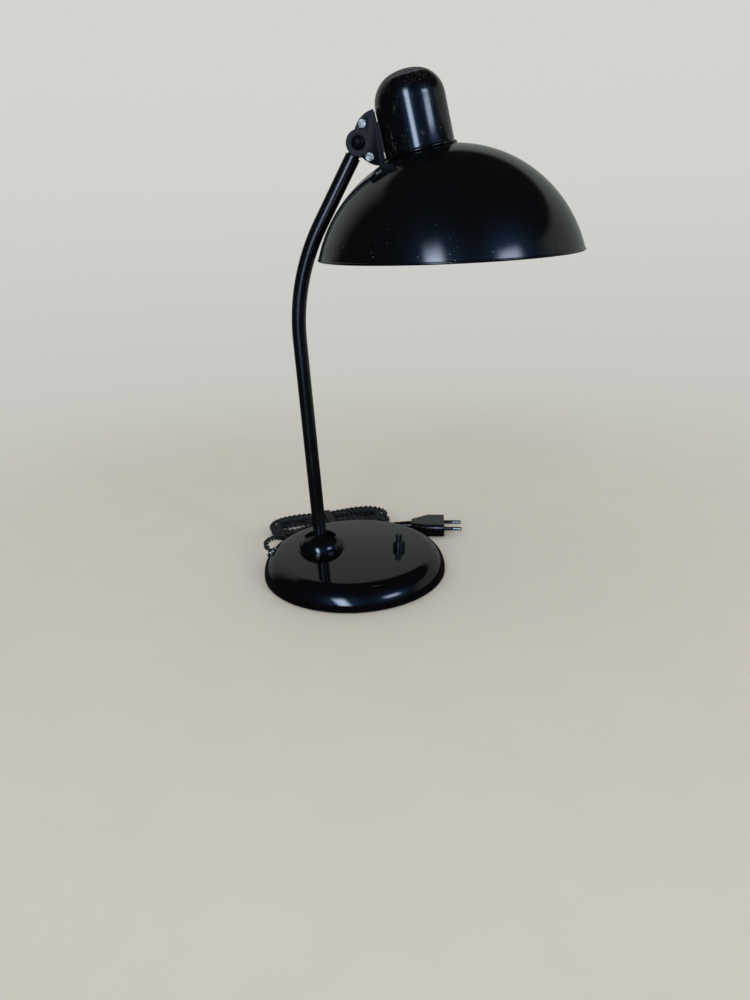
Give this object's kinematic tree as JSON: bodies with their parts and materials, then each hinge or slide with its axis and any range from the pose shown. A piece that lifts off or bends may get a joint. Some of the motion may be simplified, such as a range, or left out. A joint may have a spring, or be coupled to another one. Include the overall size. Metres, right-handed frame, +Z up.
{
  "type": "desk lamp",
  "caption": "Desk lamp with a round domed weighted base, a bent tube arm on a turning and tilting joint, a hinged half-ball shade with a tall cap, a push switch and a twisted cord.",
  "frame": {"origin": "centre of the base on the surface that it stands on", "axes": "+Z up; +X from the arm's joint towards the push switch, the way the arm reaches at rest; +Y to the lamp's left when it is seen along +X"},
  "size_m": [0.308, 0.2537, 0.4374],
  "materials": {
    "black_enamel": "gloss",
    "bracket_black": "satin",
    "zinc_steel": "satin",
    "nickel": "gloss",
    "cast_iron": "rough",
    "base_felt": "matte",
    "bakelite": "gloss",
    "black_plastic": "satin",
    "brass": "satin",
    "bulb_glass": "frosted",
    "bulb_cap": "satin",
    "inner_insulation": "matte",
    "cord_textile": "woven",
    "tie_strap": "matte",
    "ceramic_insert": "matte"
  },
  "bodies": {
    "base": {"base_shell": "black_enamel", "shell_posts": "zinc_steel", "base_weight": "cast_iron", "base_plate": "zinc_steel", "base_pad": "base_felt", "base_screws": "zinc_steel", "switch_collar": "black_plastic", "switch_body": "bakelite", "switch_spring": "zinc_steel", "switch_wire": "inner_insulation", "cord_grommet": "nickel", "grommet_nut": "nickel", "inner_cord": "cord_textile", "cord_clip": "zinc_steel", "terminal_block": "bakelite", "entry_screws": "zinc_steel", "cord_lead": "cord_textile", "cord_hank": "cord_textile", "cord_tail": "cord_textile", "cord_tie": "tie_strap", "plug_relief": "black_plastic", "plug_body": "black_plastic", "pin_sleeves": "black_plastic", "plug_pins": "nickel"},
    "turret": {"joint_cover": "black_enamel", "joint_fork": "zinc_steel", "joint_clamp": "zinc_steel", "joint_washer": "brass", "joint_screws": "nickel", "pivot_bolt": "zinc_steel", "pivot_nut": "zinc_steel"},
    "arm": {"arm_tube": "black_enamel", "arm_foot": "zinc_steel", "arm_knuckle": "bracket_black", "arm_flex": "inner_insulation"},
    "head": {"bracket_front": "bracket_black", "bracket_rear": "bracket_black", "bracket_screws": "nickel", "bracket_nuts": "zinc_steel", "bracket_spacers": "zinc_steel", "cap_saddle": "bracket_black", "saddle_screws": "zinc_steel", "hinge_bolt": "bracket_black", "hinge_washer": "nickel", "hinge_nut": "nickel", "cap": "black_enamel", "neck_collar": "black_enamel", "shade": "black_enamel", "lampholder_body": "bakelite", "shade_ring": "bakelite", "holder_plate": "zinc_steel", "holder_nipple": "brass", "holder_nut": "brass", "holder_insert": "ceramic_insert", "holder_screw_shell": "brass", "holder_contact": "brass", "bulb_cap": "bulb_cap", "bulb_glass": "bulb_glass", "head_flex": "inner_insulation"},
    "button": {"switch_button": "black_plastic"}
  },
  "joints": [
    {"name": "arm_turn", "type": "hinge", "parent": "base", "child": "turret", "pos_m": [-0.0325, 0, 0.02438], "axis": [-0.0383, 0, 0.9993], "range_deg": [-160, 160]},
    {"name": "arm_tilt", "type": "hinge", "parent": "turret", "child": "arm", "pos_m": [-0.03231, 0, 0.01938], "axis": [0, 1, 0], "range_deg": [-20, 20]},
    {"name": "head_tilt", "type": "hinge", "parent": "arm", "child": "head", "pos_m": [0.0191, 0, 0.38493], "axis": [0, -1, 0], "range_deg": [0, 105]},
    {"name": "switch_push", "type": "slide", "parent": "base", "child": "button", "axis": [0, 0, -1], "range_m": [0, 0.003], "stiffness_N_per_m": 300, "deforming": ["switch_spring"]}
  ]
}
